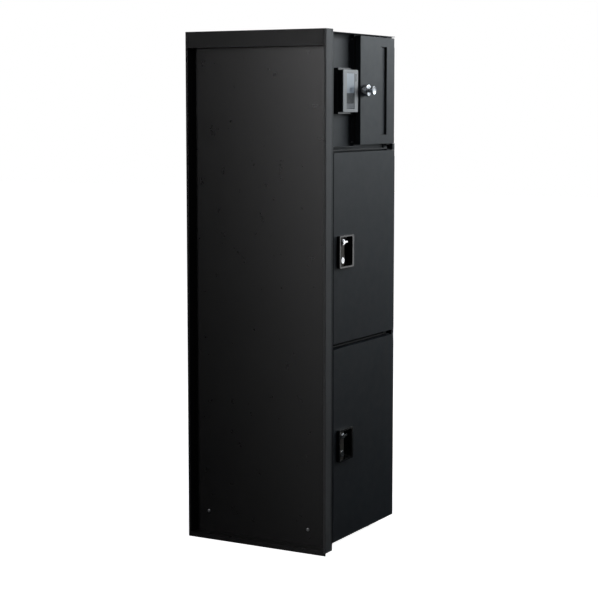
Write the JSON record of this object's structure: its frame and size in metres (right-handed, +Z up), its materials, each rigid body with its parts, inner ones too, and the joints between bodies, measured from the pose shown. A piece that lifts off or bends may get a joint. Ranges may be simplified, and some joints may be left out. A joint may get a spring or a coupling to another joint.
{
  "type": "parcel locker",
  "caption": "Tall residential parcel locker with hinged parcel doors, a mail door with a slot and knob, a door station in a recess and a recessed side frame.",
  "frame": {"origin": "middle of the bounding box's footprint, on the ground", "axes": "+X to the right seen from the front, +Y from the doors to the back, +Z up"},
  "size_m": [0.48, 0.552, 1.65],
  "materials": {
    "black_steel": "satin",
    "edge_trim_paint": "satin",
    "zinc": "zinc plated",
    "rubber": "matte",
    "gloss_black": "gloss",
    "silver_cover": "satin",
    "window": "gloss",
    "dark_panel": "matte",
    "button_grey": "satin",
    "chrome": "polished",
    "bronze_grey": "satin"
  },
  "bodies": {
    "cabinet": {"frame_header": "black_steel", "frame_front_stile": "black_steel", "frame_rear_stile": "black_steel", "frame_bottom_rail": "black_steel", "side_panel": "black_steel", "edge_trim": "edge_trim_paint", "panel_bolts": "zinc", "left_wall": "black_steel", "right_wall": "black_steel", "back_wall": "black_steel", "roof": "black_steel", "floor_pan": "black_steel", "mail_floor": "black_steel", "parcel_shelf": "black_steel", "mail_divider": "black_steel", "face_frame": "black_steel", "drip_rails": "edge_trim_paint", "levelling_feet": "zinc", "latch_strikes": "zinc", "mail_seal": "rubber", "upper_seal": "rubber", "lower_seal": "rubber", "roof_hinge_bracket": "black_steel", "mail_hinge_bracket": "black_steel", "shelf_hinge_bracket": "black_steel", "base_hinge_bracket": "black_steel", "cabinet_screws": "zinc", "station_plate": "black_steel", "station_box": "gloss_black", "station_housing": "gloss_black", "station_cover": "silver_cover", "camera_window": "window", "camera_lens": "gloss_black", "speaker_panel": "dark_panel"},
    "call_button": {"call_button": "button_grey"},
    "mail_door": {"mail_door": "black_steel", "mail_door_liner": "black_steel", "slot_frame": "edge_trim_paint", "flap_pin": "zinc", "knob_rose": "chrome"},
    "mail_flap": {"mail_flap": "black_steel"},
    "mail_knob": {"mail_knob": "chrome", "mail_cam": "zinc"},
    "upper_door": {"upper_door": "black_steel", "upper_door_liner": "black_steel", "upper_handle": "gloss_black", "upper_face_plate": "bronze_grey"},
    "upper_thumb_turn": {"upper_thumb_turn": "chrome", "upper_latch_cam": "zinc"},
    "upper_key": {"upper_key_plug": "chrome", "upper_lock_cam": "zinc"},
    "lower_door": {"lower_door": "black_steel", "lower_door_liner": "black_steel", "lower_handle": "gloss_black", "lower_face_plate": "bronze_grey"},
    "lower_thumb_turn": {"lower_thumb_turn": "chrome", "lower_latch_cam": "zinc"},
    "lower_key": {"lower_key_plug": "chrome", "lower_lock_cam": "zinc"}
  },
  "joints": [
    {"name": "call_button_press", "type": "slide", "parent": "cabinet", "child": "call_button", "axis": [0, 1, 0], "range_m": [0, 0.0015], "stiffness_N_per_m": 300, "springref_m": -0.001},
    {"name": "mail_door_hinge", "type": "hinge", "parent": "cabinet", "child": "mail_door", "pos_m": [0.227, -0.224, 1.4635], "axis": [0, 0, 1], "range_deg": [0, 95]},
    {"name": "mail_flap_hinge", "type": "hinge", "parent": "mail_door", "child": "mail_flap", "pos_m": [0.1396, -0.23025, 1.4635], "axis": [0, 0, 1], "range_deg": [0, 75], "stiffness_Nm_per_rad": 0.02, "springref_deg": -20.05},
    {"name": "mail_knob_turn", "type": "hinge", "parent": "mail_door", "child": "mail_knob", "pos_m": [0.011, -0.238, 1.4635], "axis": [0, 1, 0], "range_deg": [0, 90]},
    {"name": "upper_door_hinge", "type": "hinge", "parent": "cabinet", "child": "upper_door", "pos_m": [0.232, -0.224, 0.9685], "axis": [0, 0, 1], "range_deg": [0, 105]},
    {"name": "upper_turn", "type": "hinge", "parent": "upper_door", "child": "upper_thumb_turn", "pos_m": [-0.1465, -0.238, 0.989], "axis": [0, 1, 0], "range_deg": [0, 90]},
    {"name": "upper_key_turn", "type": "hinge", "parent": "upper_door", "child": "upper_key", "pos_m": [-0.1465, -0.238, 0.931], "axis": [0, 1, 0], "range_deg": [0, 90]},
    {"name": "lower_door_hinge", "type": "hinge", "parent": "cabinet", "child": "lower_door", "pos_m": [0.232, -0.224, 0.3415], "axis": [0, 0, 1], "range_deg": [0, 105]},
    {"name": "lower_turn", "type": "hinge", "parent": "lower_door", "child": "lower_thumb_turn", "pos_m": [-0.1465, -0.238, 0.371], "axis": [0, 1, 0], "range_deg": [0, 90]},
    {"name": "lower_key_turn", "type": "hinge", "parent": "lower_door", "child": "lower_key", "pos_m": [-0.1465, -0.238, 0.313], "axis": [0, 1, 0], "range_deg": [0, 90]}
  ]
}
